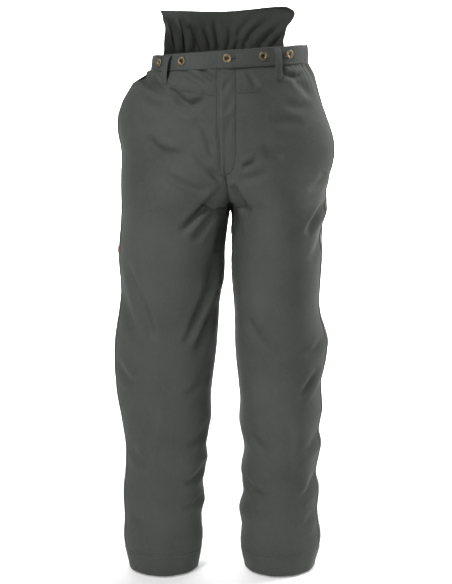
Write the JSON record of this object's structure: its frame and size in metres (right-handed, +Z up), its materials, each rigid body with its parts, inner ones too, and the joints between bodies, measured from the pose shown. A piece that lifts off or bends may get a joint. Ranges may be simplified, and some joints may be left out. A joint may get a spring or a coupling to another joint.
{
  "type": "protective chainsaw trousers",
  "caption": "Forestry trousers with cut-protection pads in the legs, zip fly, brace buttons, belt loops and a raised kidney flap.",
  "frame": {"origin": "centre of the waistband's top opening", "axes": "+Z up along the body, -Y is the front, +X is the wearer's left"},
  "size_m": [0.438, 0.2827, 1.144],
  "materials": {
    "shell_twill": "matte",
    "shell_lining": "matte",
    "cut_pad": "matte",
    "elastic": "matte",
    "orange_tab": "matte",
    "zip_tape": "matte",
    "brass_button": "antique",
    "zip_brass": "satin"
  },
  "bodies": {
    "trousers": {"right_front_thigh_panel": "shell_twill", "right_back_thigh_panel": "shell_twill", "right_back_knee_panel": "shell_twill", "right_thigh_pad": "cut_pad", "right_front_lining": "shell_lining", "right_back_lining": "shell_lining", "right_pocket_bag": "shell_lining", "waistband_front_right": "shell_twill", "waistband_back_right": "shell_twill", "waist_elastic_right": "elastic", "belt_loop_front_right": "shell_twill", "belt_loop_back_right": "shell_twill", "left_front_thigh_panel": "shell_twill", "left_back_thigh_panel": "shell_twill", "left_back_knee_panel": "shell_twill", "left_thigh_pad": "cut_pad", "left_front_lining": "shell_lining", "left_back_lining": "shell_lining", "left_pocket_bag": "shell_lining", "waistband_front_left": "shell_twill", "waistband_back_left": "shell_twill", "waist_elastic_left": "elastic", "belt_loop_front_left": "shell_twill", "belt_loop_back_left": "shell_twill", "belt_loop_centre_back": "shell_twill", "rear_pocket": "shell_twill", "fly_shield": "shell_twill", "side_tab": "orange_tab", "zip_tape_right": "zip_tape", "zip_teeth_right": "zip_brass", "zip_bottom_stop": "zip_brass", "waist_button_tack": "brass_button", "brace_button_tacks": "brass_button"},
    "fly_lap": {"fly_lap": "shell_twill", "fly_facing": "shell_twill", "waistband_tab": "shell_twill", "zip_tape_left": "zip_tape", "zip_teeth_left": "zip_brass"},
    "zip_slider": {"zip_slider": "zip_brass"},
    "zip_pull": {"zip_pull": "zip_brass"},
    "kidney_flap": {"kidney_flap": "shell_twill", "kidney_flap_lining": "shell_lining"},
    "right_shin": {"right_front_shin_panel": "shell_twill", "right_back_shin_panel": "shell_twill", "right_shin_pad": "cut_pad", "right_front_hem_facing": "shell_twill", "right_back_hem_facing": "shell_twill"},
    "left_shin": {"left_front_shin_panel": "shell_twill", "left_back_shin_panel": "shell_twill", "left_shin_pad": "cut_pad", "left_front_hem_facing": "shell_twill", "left_back_hem_facing": "shell_twill"},
    "waist_button": {"waist_button": "brass_button"},
    "brace_button_front_1": {"brace_button_front_1": "brass_button"},
    "brace_button_front_2": {"brace_button_front_2": "brass_button"},
    "brace_button_front_3": {"brace_button_front_3": "brass_button"},
    "brace_button_front_4": {"brace_button_front_4": "brass_button"},
    "brace_button_back_1": {"brace_button_back_1": "brass_button"},
    "brace_button_back_2": {"brace_button_back_2": "brass_button"}
  },
  "joints": [
    {"name": "waist_button_turn", "type": "hinge", "parent": "trousers", "child": "waist_button", "pos_m": [0.004, -0.11529, -0.01475], "axis": [0.018, -0.9998, 0], "continuous": true},
    {"name": "brace_button_front_1_turn", "type": "hinge", "parent": "trousers", "child": "brace_button_front_1", "pos_m": [-0.124, -0.05513, -0.02268], "axis": [-0.8323, -0.5544, 0], "continuous": true},
    {"name": "brace_button_front_2_turn", "type": "hinge", "parent": "trousers", "child": "brace_button_front_2", "pos_m": [-0.081, -0.09446, -0.02002], "axis": [-0.4967, -0.8679, 0], "continuous": true},
    {"name": "brace_button_front_3_turn", "type": "hinge", "parent": "trousers", "child": "brace_button_front_3", "pos_m": [0.071, -0.1034, -0.0106], "axis": [0.335, -0.9422, 0], "continuous": true},
    {"name": "brace_button_front_4_turn", "type": "hinge", "parent": "trousers", "child": "brace_button_front_4", "pos_m": [0.121, -0.07563, -0.00751], "axis": [0.638, -0.77, 0], "continuous": true},
    {"name": "brace_button_back_1_turn", "type": "hinge", "parent": "trousers", "child": "brace_button_back_1", "pos_m": [-0.042, 0.10407, -0.0176], "axis": [-0.2339, 0.9723, 0], "continuous": true},
    {"name": "brace_button_back_2_turn", "type": "hinge", "parent": "trousers", "child": "brace_button_back_2", "pos_m": [0.042, 0.1052, -0.0124], "axis": [0.1816, 0.9834, 0], "continuous": true},
    {"name": "zip_slide", "type": "slide", "parent": "trousers", "child": "zip_slider", "axis": [0, 0, -1], "range_m": [0, 0.13]},
    {"name": "fly_lap_open", "type": "hinge", "parent": "trousers", "child": "fly_lap", "pos_m": [0.004, -0.1235, -0.24], "axis": [0.0837, 0, 0.9965], "range_deg": [0, 130], "deforming": ["zip_tape_left", "zip_teeth_left"]},
    {"name": "zip_pull_swing", "type": "hinge", "parent": "zip_slider", "child": "zip_pull", "pos_m": [0.004, -0.1145, -0.047], "axis": [-1, 0, 0], "range_deg": [0, 60]},
    {"name": "kidney_flap_fold", "type": "hinge", "parent": "trousers", "child": "kidney_flap", "pos_m": [0, 0.1095, 0.001], "axis": [-1, 0, 0], "range_deg": [0, 80]},
    {"name": "right_knee", "type": "hinge", "parent": "trousers", "child": "right_shin", "pos_m": [-0.12, 0, -0.612], "axis": [1, 0, 0], "range_deg": [0, 75], "deforming": ["right_back_knee_panel"]},
    {"name": "left_knee", "type": "hinge", "parent": "trousers", "child": "left_shin", "pos_m": [0.115, 0, -0.612], "axis": [1, 0, 0], "range_deg": [0, 75], "deforming": ["left_back_knee_panel"]}
  ],
  "couplings": [
    {"joint": "fly_lap_open", "follows": "zip_slide", "rad_per_m": 17.44},
    {"joint": "zip_pull_swing", "follows": "zip_slide", "rad_per_m": 8.0419}
  ]
}
